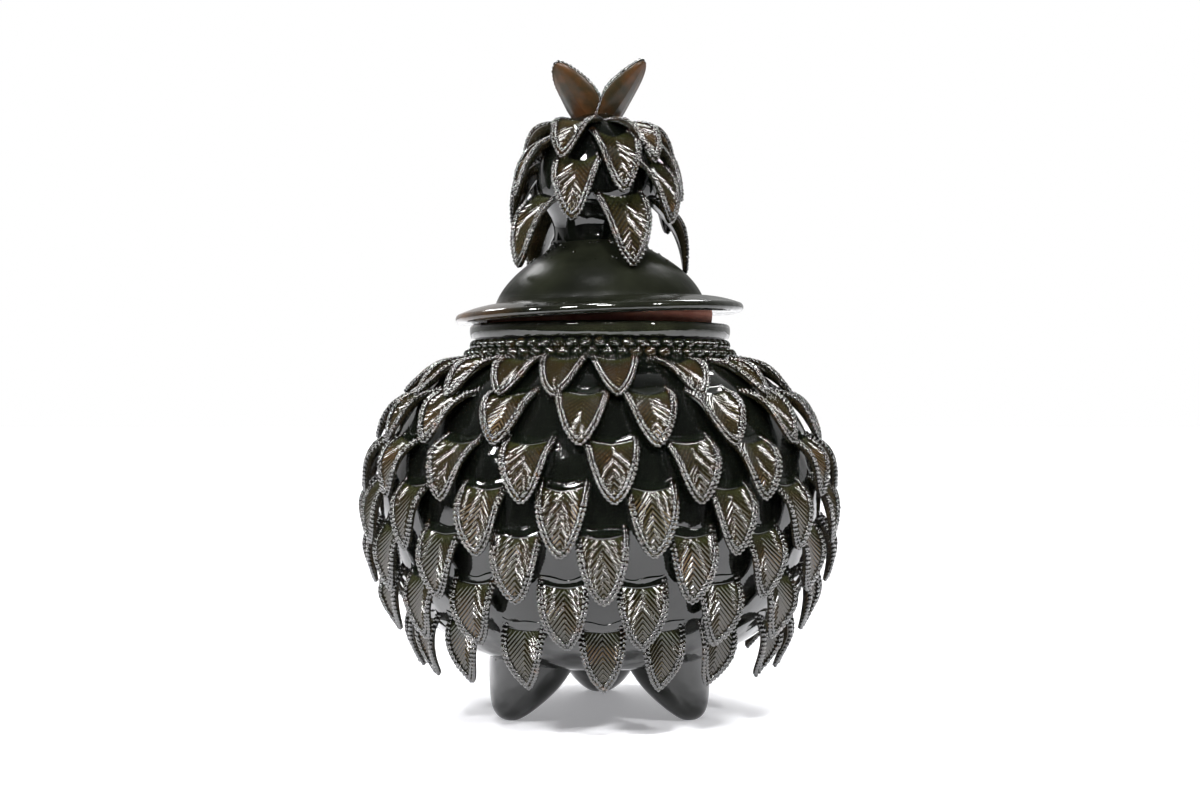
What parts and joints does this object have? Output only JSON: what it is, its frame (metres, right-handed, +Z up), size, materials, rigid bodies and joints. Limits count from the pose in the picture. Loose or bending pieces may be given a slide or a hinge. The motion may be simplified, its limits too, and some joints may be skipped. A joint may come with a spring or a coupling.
{
  "type": "lidded clay jar",
  "caption": "Globular glazed clay jar on short feet, covered in rows of pressed clay leaves, with a loose domed lid and leafy knob",
  "frame": {"origin": "on the surface that the jar stands on, under the middle of the pot", "axes": "+Z up through the mouth and the lid, -Y the front with a foot on either side of it and the third foot at +Y, +X the side where the askew lid stands up"},
  "size_m": [0.2651, 0.2643, 0.3562],
  "materials": {
    "wall_glaze": "very dark green, almost black glossy glaze",
    "rim_glaze": "dark green glossy glaze",
    "leaf_glaze": "thin olive brown glaze over red clay",
    "crown_glaze": "thin brown glaze over red clay",
    "bare_clay": "unglazed fired red clay"
  },
  "bodies": {
    "pot": {"collar_pellets_lower": "wall_glaze", "collar_pellets_upper": "wall_glaze", "foot_back": "wall_glaze", "foot_front_left": "wall_glaze", "foot_front_right": "wall_glaze", "leaf_row_1": "leaf_glaze", "leaf_row_2": "leaf_glaze", "leaf_row_3": "leaf_glaze", "leaf_row_4": "leaf_glaze", "leaf_row_5": "leaf_glaze", "leaf_row_6": "leaf_glaze", "leaf_row_7": "leaf_glaze", "pot_shell": "wall_glaze", "rim_ring": "rim_glaze"},
    "lid": {"crown_leaf_left": "crown_glaze", "crown_leaf_right": "crown_glaze", "finial_bulb": "wall_glaze", "finial_leaf_1_1": "leaf_glaze", "finial_leaf_1_2": "leaf_glaze", "finial_leaf_1_3": "leaf_glaze", "finial_leaf_1_4": "leaf_glaze", "finial_leaf_1_5": "leaf_glaze", "finial_leaf_2_1": "leaf_glaze", "finial_leaf_2_2": "leaf_glaze", "finial_leaf_2_3": "leaf_glaze", "finial_leaf_2_4": "leaf_glaze", "finial_leaf_2_5": "leaf_glaze", "finial_leaf_3_1": "leaf_glaze", "finial_leaf_3_2": "leaf_glaze", "finial_leaf_3_3": "leaf_glaze", "finial_leaf_3_4": "leaf_glaze", "finial_leaf_3_5": "leaf_glaze", "finial_leaf_4_1": "leaf_glaze", "finial_leaf_4_2": "leaf_glaze", "finial_leaf_4_3": "leaf_glaze", "finial_leaf_4_4": "leaf_glaze", "finial_leaf_4_5": "leaf_glaze", "lid_flange": "bare_clay", "lid_shell": "rim_glaze"}
  },
  "joints": [
    {"name": "lid_lift", "type": "slide", "parent": "pot", "child": "lid", "axis": [0, 0, 1], "range_m": [0, 0.1]}
  ]
}
